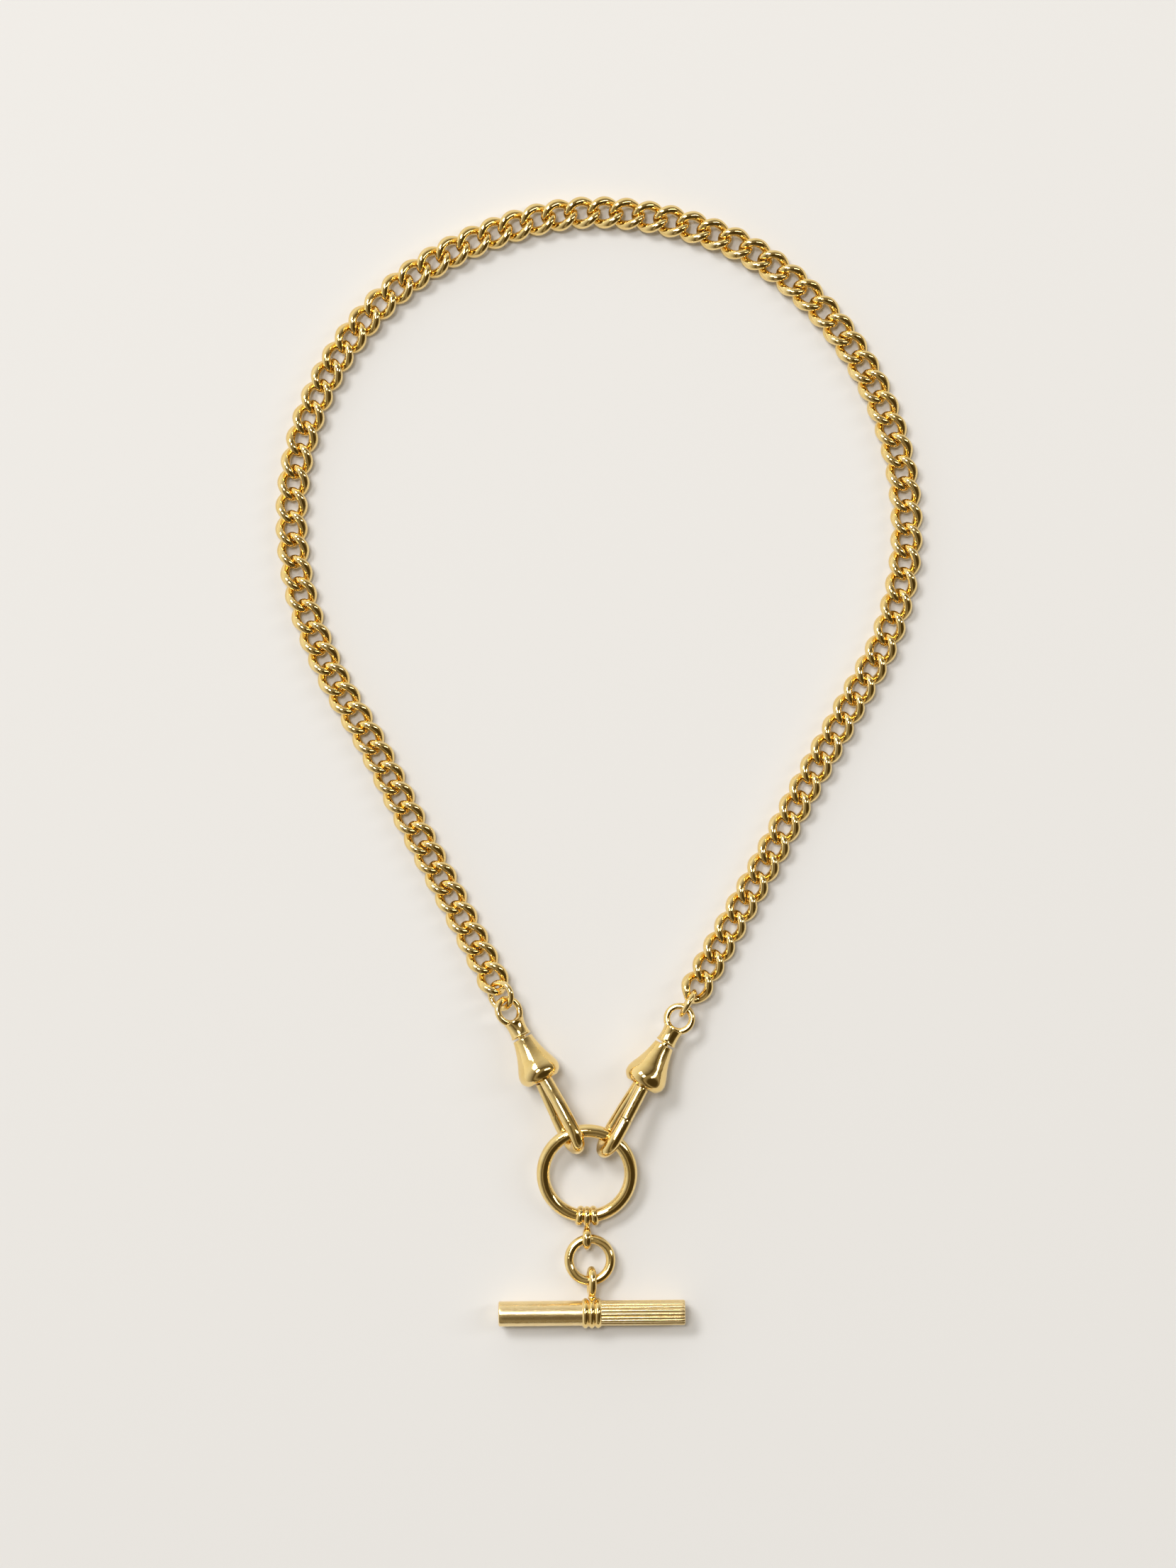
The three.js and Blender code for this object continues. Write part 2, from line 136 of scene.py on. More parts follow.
SIDES = {
    "left": {
        "grip": math.radians(-22.4),
        "heading": (-0.449, 0.8935),
        "fall": math.radians(2.5),
        "spine_roll": math.radians(-18.8),
        "eye_roll": math.radians(-36),
        "jump_heading": (-0.455, 0.89),
        "jump_roll": math.radians(36),
    },
    "right": {
        "grip": math.radians(33.4),
        "heading": (0.498, 0.867),
        "fall": math.radians(2.05),
        "spine_roll": math.radians(168),
        "eye_roll": math.radians(8),
        "jump_heading": (0.49, 0.872),
        "jump_roll": math.radians(90),
    },
}

# Plan course of the chain between its jump rings, from left to right over the crown
COURSE = [
    (-29.2, -30.4), (-37.8, -14.1), (-47.0, 3.9), (-55.6, 18.9), (-61.5, 35.1), (-63.2, 52.5),
    (-59.9, 70.0), (-51.7, 86.1), (-39.0, 99.2), (-22.9, 108.0), (-5.0, 112.6), (13.6, 111.2),
    (31.0, 104.8), (45.4, 93.2), (55.8, 78.3), (61.8, 61.4), (63.1, 43.7), (59.4, 26.5),
    (51.4, 11.0), (42.5, -5.2), (34.0, -21.4), (26.0, -35.8),
]

# The frame's origin is the middle of the outline, so everything is moved to where its large ring is
ring_low, ring_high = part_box("big_ring")
SHIFT = np.array((ring_low + ring_high) / 2) / MM - RING_CENTRE


# ---- placing ----

def unit(vector):
    return np.asarray(vector, float) / np.linalg.norm(vector)


def rotation(axis, angle):
    """A 4x4 turn about an axis through the origin."""
    x, y, z = unit(axis)
    cross = np.array([[0, -z, y], [z, 0, -x], [-y, x, 0]])
    matrix = np.eye(4)
    matrix[:3, :3] += math.sin(angle) * cross + (1 - math.cos(angle)) * cross @ cross
    return matrix


def shifted(x, y, z):
    matrix = np.eye(4)
    matrix[:3, 3] = (x, y, z)
    return matrix


def placement(origin, along, roll=0.0):
    """Local +X along, +Z as near up as it can be, then rolled about +X: a positive roll lifts the right."""
    x = unit(along)
    y = unit(np.cross(UP, x))
    matrix = np.eye(4)
    matrix[:3, 0], matrix[:3, 1], matrix[:3, 2] = x, y, np.cross(x, y)
    matrix[:3, 3] = origin
    return matrix @ rotation((1, 0, 0), -roll)


def moved(points, matrix):
    return np.asarray(points) @ matrix[:3, :3].T + matrix[:3, 3]


# ---- shapes: each is a list of points and a list of faces ----

def full_turn(steps):
    """Evenly spaced angles once round."""
    return np.linspace(0, 2 * math.pi, steps, endpoint=False)


def grid_faces(rings, around, closed):
    """Quads between rings of points, in the order that the rings come."""
    faces = []
    for i in range(rings if closed else rings - 1):
        here, there = i * around, ((i + 1) % rings) * around
        for k in range(around):
            after = (k + 1) % around
            faces.append((here + k, here + after, there + after, there + k))
    return faces


def end_faces(rings, around):
    """The two faces that close the first and the last ring."""
    last = (rings - 1) * around
    return [tuple(reversed(range(around))), tuple(range(last, last + around))]


def spline(points, steps):
    """A smooth curve through the points, with the same number of steps between each two."""
    p = np.asarray(points, float)
    p = np.vstack([2 * p[0] - p[1], p, 2 * p[-1] - p[-2]])
    t = np.linspace(0, 1, steps, endpoint=False)[:, None]
    stretches = []
    for a, b, c, d in zip(p, p[1:], p[2:], p[3:]):
        stretches.append(
            0.5 * (2 * b + (c - a) * t + (2 * a - 5 * b + 4 * c - d) * t**2 + (3 * b - a - 3 * c + d) * t**3)
        )
    return np.vstack(stretches + [p[-2:-1]])


def tube(points, wire, around=20, closed=False, upright=UP, broad=1.0):
    """A wire along the points. `wire` is its radius, or one radius for each point, and `broad` is how
    many times broader it is towards `upright`."""
    points = np.asarray(points, float)
    radii = np.broadcast_to(np.asarray(wire, float), (len(points),))
    broader = np.broadcast_to(np.asarray(broad, float), (len(points),))
    if closed:
        tangents = np.roll(points, -1, axis=0) - np.roll(points, 1, axis=0)
    else:
        tangents = np.gradient(points, axis=0)
    tangents /= np.linalg.norm(tangents, axis=1, keepdims=True)
    across = np.asarray(upright, float) - (tangents @ upright)[:, None] * tangents
    across /= np.linalg.norm(across, axis=1, keepdims=True)
    beside = np.cross(tangents, across)
    angles = full_turn(around)
    spokes = np.cos(angles)[None, :, None] * (broader[:, None] * across)[:, None]
    spokes = spokes + np.sin(angles)[None, :, None] * beside[:, None]
    verts = (points[:, None] + radii[:, None, None] * spokes).reshape(-1, 3)
    faces = grid_faces(len(points), around, closed)
    if not closed:
        faces += end_faces(len(points), around)
    return verts, faces


def round_ended(points, wire, bevel, around=20, upright=UP):
    """An open wire whose two ends are rounded off over the length `bevel`."""
    points = np.asarray(points, float)
    lengths = np.concatenate([[0], np.cumsum(np.linalg.norm(np.diff(points, axis=0), axis=1))])
    turns = np.radians([0, 30, 60, 90])
    near = bevel * (1 - np.cos(turns))
    between = lengths[(lengths > bevel) & (lengths < lengths[-1] - bevel)]
    stations = np.concatenate([near, between, lengths[-1] - near[::-1]])
    route = np.column_stack([np.interp(stations, lengths, points[:, i]) for i in range(3)])
    inset = np.minimum(stations, lengths[-1] - stations)
    short = np.clip(1 - inset / bevel, 0, 1)
    radii = np.interp(stations, lengths, np.broadcast_to(wire, (len(points),)))
    radii = radii - bevel * (1 - np.sqrt(1 - short**2))
    return tube(route, radii, around, upright=upright)


def turned_rings(profile, around):
    """The rings that a profile of (distance along +X, radius) pairs makes when turned about the X axis."""
    angles = full_turn(around)
    return [
        np.column_stack([np.full(around, x), r * np.cos(angles), r * np.sin(angles)])
        for x, r in np.asarray(profile, float)
    ]


def turned(profile, around=48):
    """A profile turned about the X axis, with a flat face at both ends."""
    rings = turned_rings(profile, around)
    return np.vstack(rings), grid_faces(len(rings), around, False) + end_faces(len(rings), around)


def sleeve(profile, around=48):
    """A profile that closes on itself, turned about the X axis."""
    rings = turned_rings(profile, around)
    return np.vstack(rings), grid_faces(len(rings), around, True)


def circle(radius, steps):
    angles = full_turn(steps)
    return np.column_stack([radius * np.cos(angles), radius * np.sin(angles), np.zeros(steps)])


def block(x, y, z):
    """A box between two values on each axis."""
    corners = np.array([(i, j, k) for i in x for j in y for k in z], float)
    return corners, [(0, 1, 3, 2), (4, 6, 7, 5), (0, 4, 5, 1), (2, 3, 7, 6), (0, 2, 6, 4), (1, 5, 7, 3)]


# ---- objects ----

def make_mesh(name, shape, matrix=IDENTITY):
    """An object with its place in its mesh, in metres, whose faces point out."""
    verts, faces = shape
    mesh = bpy.data.meshes.new(name)
    mesh.from_pydata((moved(verts, matrix) * MM).tolist(), [], faces)
    solid = bmesh.new()
    solid.from_mesh(mesh)
    bmesh.ops.remove_doubles(solid, verts=solid.verts, dist=WELD)
    bmesh.ops.recalc_face_normals(solid, faces=solid.faces)
    solid.to_mesh(mesh)
    solid.free()
    piece = bpy.data.objects.new(name, mesh)
    bpy.context.scene.collection.objects.link(piece)
    return piece


def combine(piece, others, operation):
    """Joins the other objects to the piece, or cuts them out of it, and removes them."""
    for other in others:
        step = piece.modifiers.new("combine", "BOOLEAN")
        step.operation = operation
        step.solver = "EXACT"
        step.object = other
        bpy.context.view_layer.update()
        shaped = piece.evaluated_get(bpy.context.evaluated_depsgraph_get())
        mesh = bpy.data.meshes.new_from_object(shaped)
        piece.modifiers.clear()
        piece.data = mesh
        bpy.data.objects.remove(other)
    return piece


def finish_piece(piece, material, body, nodes, sharp=35):
    """Shades the piece, gives it its finish and sets it on its body in place of its CAD nodes."""
    piece.data.materials.clear()
    piece.data.materials.append(material)
    piece.data.shade_smooth()
    piece.data.set_sharp_from_angle(angle=math.radians(sharp))
    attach(piece, body)
    if nodes:
        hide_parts(*nodes)
    return piece


# ---- finishes ----

class Finish:
    """A metal shader under construction. Its patterns keep their place on the piece."""

    def __init__(self, slot, colour, roughness):
        self.material = bpy.data.materials.new(f"{slot}_finish")
        self.material["slot"] = slot
        self.material.use_nodes = True
        self.tree = self.material.node_tree
        self.shader = self.tree.nodes["Principled BSDF"]
        self.shader.inputs["Metallic"].default_value = 1.0
        self.shader.inputs["Base Color"].default_value = (*colour, 1)
        self.shader.inputs["Roughness"].default_value = roughness
        self.place = self.tree.nodes.new("ShaderNodeTexCoord").outputs["Object"]
        self.normal = None

    def node(self, kind, **settings):
        made = self.tree.nodes.new(kind)
        for key, value in settings.items():
            setattr(made, key, value)
        return made

    def link(self, source, target):
        self.tree.links.new(source, target)

    def noise(self, period, detail=3.0, roughness=0.55, stretch=(1, 1, 1), turn=(0, 0, 0)):
        """Noise whose features are `period` millimetres across, drawn out along an axis by `stretch`."""
        mapping = self.node("ShaderNodeMapping")
        mapping.inputs["Scale"].default_value = [1 / s for s in stretch]
        mapping.inputs["Rotation"].default_value = turn
        self.link(self.place, mapping.inputs["Vector"])
        texture = self.node("ShaderNodeTexNoise")
        texture.inputs["Scale"].default_value = 1 / (period * MM)
        texture.inputs["Detail"].default_value = detail
        texture.inputs["Roughness"].default_value = roughness
        self.link(mapping.outputs["Vector"], texture.inputs["Vector"])
        return texture.outputs["Fac"]

    def ramp(self, value, low, high, from_low, from_high):
        mapped = self.node("ShaderNodeMapRange")
        limits = {"From Min": from_low, "From Max": from_high, "To Min": low, "To Max": high}
        for socket, number in limits.items():
            mapped.inputs[socket].default_value = number
        self.link(value, mapped.inputs["Value"])
        return mapped.outputs["Result"]

    def blend(self, value, first, second):
        mix = self.node("ShaderNodeMix", data_type="RGBA")
        mix.inputs["A"].default_value = (*first, 1)
        mix.inputs["B"].default_value = (*second, 1)
        self.link(value, mix.inputs["Factor"])
        return mix.outputs["Result"]

    def math(self, operation, first, second):
        step = self.node("ShaderNodeMath", operation=operation)
        for socket, value in zip(step.inputs, (first, second)):
            if isinstance(value, (int, float)):
                socket.default_value = value
            else:
                self.link(value, socket)
        return step.outputs[0]

    def bump(self, height, depth, strength=1.0):
        """Raises the surface by up to `depth` millimetres, over the bumps already there."""
        bump = self.node("ShaderNodeBump")
        bump.inputs["Distance"].default_value = depth * MM
        bump.inputs["Strength"].default_value = strength
        self.link(height, bump.inputs["Height"])
        if self.normal is not None:
            self.link(self.normal, bump.inputs["Normal"])
        self.normal = bump.outputs["Normal"]
        self.link(self.normal, self.shader.inputs["Normal"])

    def scratches(self, period, turn):
        """Thin hairlines, 1 along the crests of drawn-out noise and 0 between them."""
        lines = self.noise(period, detail=2, stretch=(14, 1, 1), turn=turn)
        return self.ramp(lines, 0, 1, 0.62, 0.74)


def polished_gold():
    """Cast and tumbled gold plate: soft waves, fine hairlines, slight change of tone."""
    finish = Finish("polished_gold", (0.92, 0.69, 0.29), 0.07)
    tone = finish.ramp(finish.noise(2.6), 0, 1, 0.35, 0.68)
    colour = finish.blend(tone, (0.89, 0.65, 0.25), (0.94, 0.72, 0.33))
    finish.link(colour, finish.shader.inputs["Base Color"])
    long_hairs = finish.scratches(0.32, (0.3, 0.9, 0.4))
    hair = finish.math("MAXIMUM", long_hairs, finish.scratches(0.27, (1.1, 0.2, 1.9)))
    cloud = finish.ramp(finish.noise(1.1, detail=5), 0.045, 0.12, 0.35, 0.7)
    scuffed = finish.math("MULTIPLY", hair, 0.07)
    finish.link(finish.math("ADD", scuffed, cloud), finish.shader.inputs["Roughness"])
    finish.bump(finish.noise(2.2, detail=1.5), 0.032)
    finish.bump(finish.noise(0.55, detail=2), 0.006)
    finish.bump(hair, 0.0016)
    return finish.material


def satin_gold():
    """Gold plate brushed lightly along the bar, with fine pits."""
    finish = Finish("satin_gold", (0.94, 0.73, 0.38), 0.24)
    tone = finish.ramp(finish.noise(1.8), 0, 1, 0.35, 0.68)
    colour = finish.blend(tone, (0.91, 0.7, 0.35), (0.96, 0.76, 0.41))
    finish.link(colour, finish.shader.inputs["Base Color"])
    grain = finish.noise(0.1, detail=3, stretch=(16, 1, 1))
    finish.link(finish.ramp(grain, 0.19, 0.29, 0.35, 0.68), finish.shader.inputs["Roughness"])
    finish.bump(finish.noise(1.4, detail=2, stretch=(3, 1, 1)), 0.02)
    finish.bump(grain, 0.0016)
    finish.bump(finish.noise(0.14, detail=2), 0.0035)
    return finish.material


def spring_steel():
    """Drawn wire with faint die lines."""
    finish = Finish("spring_steel", (0.56, 0.55, 0.53), 0.3)
    lines = finish.noise(0.06, detail=3, stretch=(1, 1, 6))
    colour = finish.blend(lines, (0.48, 0.47, 0.46), (0.63, 0.62, 0.6))
    finish.link(colour, finish.shader.inputs["Base Color"])
    finish.link(finish.ramp(lines, 0.24, 0.4, 0.3, 0.7), finish.shader.inputs["Roughness"])
    finish.bump(lines, 0.002)
    return finish.material


# ---- rings and T-bar ----

def on_big_ring(angle):
    """A point on the middle of the large ring's wire, at an angle from its top."""
    point = RING_RADIUS * np.array([math.sin(angle), math.cos(angle), 0])
    return moved([point], rotation((1, 0, 0), RING_TILT))[0] + RING_CENTRE + SHIFT


def make_big_ring(gold):
    wire = tube(circle(RING_RADIUS, 160), RING_WIRE, around=36, closed=True)
    matrix = shifted(*(RING_CENTRE + SHIFT)) @ rotation((1, 0, 0), RING_TILT)
    finish_piece(make_mesh("large_ring", wire, matrix), gold, "big_ring", ["big_ring"])


def rounded_rib(inner, outer, width):
    """The closed outline of one rib with a half-round back."""
    rise = 0.5 * width
    turns = np.linspace(0, math.pi, 13)
    back = [(-0.5 * width * math.cos(t), outer - rise + rise * math.sin(t)) for t in turns]
    return [(-0.5 * width, inner)] + back + [(0.5 * width, inner)]


def make_ring_collar(gold):
    """Three wraps side by side round the bottom of the large ring."""
    profile = rounded_rib(RING_COLLAR["inner"], RING_COLLAR["outer"], RING_COLLAR["rib"])
    for i in (-1, 0, 1):
        angle = math.pi + i * RING_COLLAR["turn"]
        tangent = moved([(math.cos(angle), -math.sin(angle), 0)], rotation((1, 0, 0), RING_TILT))[0]
        wrap = make_mesh(f"ring_collar_wrap_{i + 2}", sleeve(profile), placement(on_big_ring(angle), tangent))
        finish_piece(wrap, gold, "big_ring", ["ring_collar"])


def solder_bead(name, centre, radii, body, gold, seed):
    """A small uneven bead where a link is soldered on."""
    ball = bmesh.new()
    bmesh.ops.create_icosphere(ball, subdivisions=4, radius=1)
    luck = random.Random(seed)
    lumps = []
    for _ in range(BEAD_LUMPS):
        side = unit([luck.uniform(-1, 1) for _ in range(3)])
        lumps.append((side, luck.uniform(0.05, 0.14)))
    verts = []
    for vert in ball.verts:
        out = np.array(vert.co)
        swell = 1 + sum(size * max(0, out @ side) ** 12 for side, size in lumps)
        verts.append(out * swell * radii)
    faces = [tuple(vert.index for vert in face.verts) for face in ball.faces]
    ball.free()
    finish_piece(make_mesh(name, (verts, faces), shifted(*centre)), gold, body, [])


def make_collar_link(gold):
    bottom = on_big_ring(math.pi)
    centre = bottom + (0, -COLLAR_LINK["drop"], 0.05)
    matrix = shifted(*centre) @ rotation((0, 1, 0), math.pi / 2)
    steps = 64
    broad = 1 + COLLAR_LINK["swell"] * (1 - np.sin(full_turn(steps)) ** 4)
    wire = tube(circle(COLLAR_LINK["radius"], steps), COLLAR_LINK["wire"], closed=True, broad=broad)
    finish_piece(make_mesh("collar_wire_link", wire, matrix), gold, "big_ring", ["collar_link"])
    neck = centre + (0, COLLAR_LINK["radius"] + 0.25, 0.1)
    solder_bead("collar_solder", neck, (0.62, 0.5, 0.62), "big_ring", gold, 3)


def small_ring_tilt():
    return math.asin((SMALL_RING["top"] - SMALL_RING["bottom"]) / (2 * SMALL_RING["radius"]))


def make_small_ring(gold):
    top = np.array([SMALL_RING["x"], SMALL_RING["y"], SMALL_RING["top"]]) + SHIFT
    tilt = rotation((1, 0, 0), small_ring_tilt())
    centre = top + moved([(0, -SMALL_RING["radius"], 0)], tilt)[0]
    wire = tube(circle(SMALL_RING["radius"], 112), SMALL_RING["wire"], around=32, closed=True)
    finish_piece(make_mesh("linking_ring", wire, shifted(*centre) @ tilt), gold, "small_ring", ["small_ring"])


def bar_matrix():
    return shifted(*(BAR_CENTRE + SHIFT)) @ rotation(UP, BAR_TURN)


def make_bar_loop(gold):
    angles = full_turn(72)
    route = np.column_stack(
        [BAR_LOOP["half_length"] * np.cos(angles), BAR_LOOP["half_width"] * np.sin(angles), 0 * angles]
    )
    wire = tube(route, BAR_LOOP["wire"], around=24, closed=True)
    stand = rotation(UP, math.pi / 2) @ rotation((1, 0, 0), math.pi / 2 + BAR_LOOP["turn"])
    matrix = bar_matrix() @ shifted(0, BAR_LOOP["drop"], 0) @ stand
    finish_piece(make_mesh("t_bar_wire_loop", wire, matrix), gold, "t_bar", ["t_bar_loop"])
    neck = moved([(0.1, BAR_COLLAR["outer"] + 0.15, 0.15)], bar_matrix())[0]
    solder_bead("t_bar_solder", neck, (0.85, 0.48, 0.75), "t_bar", gold, 5)


def make_bar_collar(gold):
    width = BAR_COLLAR["rib"]
    valley = BAR_COLLAR["outer"] - BAR_COLLAR["groove"]
    outline = [(-1.5 * width, BAR_COLLAR["inner"])]
    for i in (-1, 0, 1):
        rib = rounded_rib(BAR_COLLAR["inner"], BAR_COLLAR["outer"], width)[1:-1]
        outline += [(x + i * width, max(r, valley)) for x, r in rib]
    outline.append((1.5 * width, BAR_COLLAR["inner"]))
    piece = make_mesh("t_bar_collar_wraps", sleeve(outline, 96), bar_matrix())
    finish_piece(piece, gold, "t_bar", ["t_bar_collar"], sharp=50)


def bar_end(radius):
    """The rounded edge at an outer end of the bar, as (distance from the end, radius)."""
    turns = np.radians(np.linspace(0, 90, 7))
    return [(BAR_EDGE * (1 - math.sin(t)), radius - BAR_EDGE * (1 - math.cos(t))) for t in turns]


def make_smooth_half(satin):
    edge = sorted((-BAR_HALF_LENGTH + inset, radius) for inset, radius in bar_end(BAR_RADIUS))
    stations = np.linspace(-BAR_HALF_LENGTH + 1, -BAR_SEAM, 14)
    profile = edge + [(x, BAR_RADIUS) for x in stations]
    piece = make_mesh("t_bar_smooth_rod", turned(profile, 96), bar_matrix())
    finish_piece(piece, satin, "t_bar", ["t_bar_smooth_half"])


def make_fluted_half(satin):
    around = BAR_FLUTES * 12
    angles = full_turn(around)
    groove = np.abs(np.sin(angles * BAR_FLUTES / 2)) ** 0.75
    uneven = 1 + 0.18 * np.sin(3 * angles + 0.7) + 0.12 * np.sin(7 * angles + 2.1)
    section = BAR_RADIUS - BAR_FLUTE_DEPTH * uneven * (1 - groove)
    edge = sorted((BAR_HALF_LENGTH - inset, radius / BAR_RADIUS) for inset, radius in bar_end(BAR_RADIUS))
    stations = [(x, 1.0) for x in np.linspace(BAR_SEAM, BAR_HALF_LENGTH - 1, 14)] + edge
    outline = np.column_stack([section * np.cos(angles), section * np.sin(angles)])
    rings = [np.column_stack([np.full(around, x), share * outline]) for x, share in stations]
    faces = grid_faces(len(rings), around, False) + end_faces(len(rings), around)
    piece = make_mesh("t_bar_fluted_rod", (np.vstack(rings), faces), bar_matrix())
    finish_piece(piece, satin, "t_bar", ["t_bar_fluted_half"], sharp=50)


# ---- clasps: local +X from the hook to the eye, local +Z towards the spine ----

def axis_of(side):
    x, y = SIDES[side]["heading"]
    return unit((x, y, -math.tan(SIDES[side]["fall"]) * math.hypot(x, y)))


def hook_route():
    """Centre of the hook's wire from inside the bell, round the bend and up the nose to the seam."""
    points = [(PLUG_START + 1.4, ROOT_RISE - 0.05), (PLUG_START, ROOT_RISE + 0.05)]
    points += [(9.8, 2.15), (6.8, 2.75), (3.4, 3.12)]
    for angle in np.arange(90, 271, 22.5):
        turn = math.radians(angle)
        points.append((BEND_AT + BEND_RADIUS * math.cos(turn), BEND_RADIUS * math.sin(turn)))
    points += [(2.8, -3.14), (GATE_SEAM, -2.92)]
    return spline([(x, 0, z) for x, z in points], 8)


def tongue_slot():
    return block((PLUG_END - 3.2, PLUG_END + 0.8), (-0.75, 1.15), (-3.4, -0.12))


def across_hinge(matrix):
    """Places local +X along the axis of the gate's hinge."""
    return matrix @ placement((GATE_HINGE, 0, -ROOT_RISE), (0, 1, 0))


def pin_hole(matrix):
    hole = turned([(-4, PIN_HOLE_RADIUS), (4, PIN_HOLE_RADIUS)], 24)
    return make_mesh("pin_hole", hole, across_hinge(matrix))


def make_hook(side, matrix, gold):
    route = hook_route()
    swell = np.clip(np.linspace(0, 1, len(route)) / 0.35, 0, 1)
    wire = HOOK_ROOT_WIRE + (HOOK_BEND_WIRE - HOOK_ROOT_WIRE) * swell**1.5
    wire[-2:] -= (0.01, 0.05)  # the edge of the nose is eased
    hook = make_mesh(f"{side}_hook_wire", tube(route, wire, 28, upright=(0, 1, 0)), matrix)
    plug = make_mesh("plug", turned([(PLUG_START, PLUG_RADIUS), (PLUG_END, PLUG_RADIUS)], 48), matrix)
    combine(plug, [make_mesh("slot", tongue_slot(), matrix)], "DIFFERENCE")
    combine(hook, [plug], "UNION")
    combine(hook, [pin_hole(matrix)], "DIFFERENCE")
    finish_piece(hook, gold, f"{side}_clasp", [f"{side}_hook"])


def make_gate(side, matrix, gold):
    start = np.array([GATE_SEAM + GATE_GAP, 0, -2.89])
    end = np.array([PLUG_START - 0.7, 0, -ROOT_RISE - 0.12])
    route = [start + (end - start) * share for share in np.linspace(0, 1, 24)]
    wire = np.linspace(HOOK_BEND_WIRE - 0.05, HOOK_ROOT_WIRE - 0.02, len(route))
    arm = round_ended(route, wire, 0.05, 28, upright=(0, 1, 0))
    gate = make_mesh(f"{side}_gate_arm", arm, matrix)
    tongue = block((end[0] - 0.5, GATE_HINGE + 0.6), (-0.65, 0.45), (-ROOT_RISE - 0.7, -ROOT_RISE + 0.7))
    combine(gate, [make_mesh("tongue", tongue, matrix)], "UNION")
    combine(gate, [pin_hole(matrix)], "DIFFERENCE")
    finish_piece(gate, gold, f"{side}_gate", [f"{side}_gate"])


def make_gate_pin(side, matrix, gold):
    half = [(2.07, PIN_RADIUS), (2.15, 0.3)]
    pin = turned([(-x, radius) for x, radius in reversed(half)] + half, 24)
    piece = make_mesh(f"{side}_hinge_pin", pin, across_hinge(matrix))
    finish_piece(piece, gold, f"{side}_clasp", [f"{side}_gate_pin"])


def make_gate_spring(side, matrix, steel):
    turns = np.linspace(0, 1.6 * 2 * math.pi, 80)
    coil = np.column_stack([0.62 * np.cos(turns), 0.62 + 0.36 * turns / turns[-1], 0.62 * np.sin(turns)])
    wire = round_ended(coil + (GATE_HINGE, 0, -ROOT_RISE), 0.1, 0.05, 12, upright=(0, 1, 0))
    piece = make_mesh(f"{side}_torsion_spring", wire, matrix)
    finish_piece(piece, steel, f"{side}_clasp", [f"{side}_gate_spring"])


def make_bell(side, matrix, gold):
    flare = spline(
        [(21.62, 2.12), (20.6, 2.33), (19.0, 2.76), (17.4, 3.32), (16.0, 3.92), (15.0, 4.28), (14.2, 4.38),
         (13.45, 4.26), (12.85, 3.88), (12.48, 3.5)],
        7,
    )
    rim = [(BELL_MOUTH, 3.36), (BELL_MOUTH, 3.16), (12.45, 3.12)]
    bore = [(15.5, 3.06), (16.6, 2.7), (18.3, 1.85), (20.7, 1.6), (20.7, 0.95)]
    top = [(BELL_TOP, 0.95), (BELL_TOP, 1.98), (BELL_TOP - 0.06, 2.07), (BELL_TOP - 0.16, 2.11)]
    profile = top + [tuple(point) for point in flare] + rim + bore
    piece = make_mesh(f"{side}_bell_cap", sleeve(profile, 80), matrix)
    finish_piece(piece, gold, f"{side}_clasp", [f"{side}_bell"], sharp=40)


def make_rivet(side, matrix, gold):
    head = [(19.7, 0.9), (19.76, 1.12), (19.9, 1.22), (20.25, 1.25), (20.4, 1.2), (20.4, 0.78)]
    piece = make_mesh(f"{side}_swivel_pin", turned(head + [(23.9, 0.78), (23.9, 0.7)], 40), matrix)
    finish_piece(piece, gold, f"{side}_eye", [f"{side}_swivel_rivet"])


def make_eye(side, matrix, gold):
    waist = spline([(22.72, 2.02), (23.2, 1.93), (24.1, 1.88), (25.0, 1.95), (25.5, 2.06)], 6)
    foot = [(24.2, 0.6), (24.2, 0.95), (CUFF_START, 0.95), (CUFF_START, 2.0), (CUFF_START + 0.08, 2.1)]
    foot += [(CUFF_START + 0.26, 2.13), (CUFF_START + 0.33, 2.06)]
    head = [(CUFF_END - 0.33, 2.12), (CUFF_END - 0.26, 2.18), (CUFF_END - 0.07, 2.16)]
    head += [(CUFF_END, 2.05), (CUFF_END, 1.9), (CUFF_END, 0.6)]
    cuff = make_mesh(f"{side}_swivel_loop", turned(foot + [tuple(p) for p in waist] + head, 64), matrix)
    ring = tube(circle(EYE_RADIUS, 72), EYE_WIRE - WIRE_CLEARANCE, around=28, closed=True)
    combine(cuff, [make_mesh("eye", ring, matrix @ shifted(EYE_AT, 0, 0))], "UNION")
    finish_piece(cuff, gold, f"{side}_eye", [f"{side}_swivel_eye"])


def make_clasp(side, gold, steel):
    grip = on_big_ring(SIDES[side]["grip"])
    body = placement(grip, axis_of(side), SIDES[side]["spine_roll"])
    eye = placement(grip, axis_of(side), SIDES[side]["eye_roll"])
    make_hook(side, body, gold)
    make_gate(side, body, gold)
    make_gate_pin(side, body, gold)
    make_gate_spring(side, body, steel)
    make_bell(side, body, gold)
    make_rivet(side, eye, gold)
    make_eye(side, eye, gold)


# ---- jump rings and the curb chain ----

def eye_centre(side):
    return on_big_ring(SIDES[side]["grip"]) + EYE_AT * axis_of(side)


def jump_centre(side):
    reach = EYE_RADIUS - EYE_WIRE + JUMP_RADIUS - JUMP_WIRE - EYE_PLAY
    eye = eye_centre(side)
    height = JUMP_HEIGHT + SHIFT[2]
    level = math.sqrt(reach**2 - (height - eye[2]) ** 2)
    x, y = SIDES[side]["jump_heading"]
    return np.array([eye[0] + level * x, eye[1] + level * y, height])


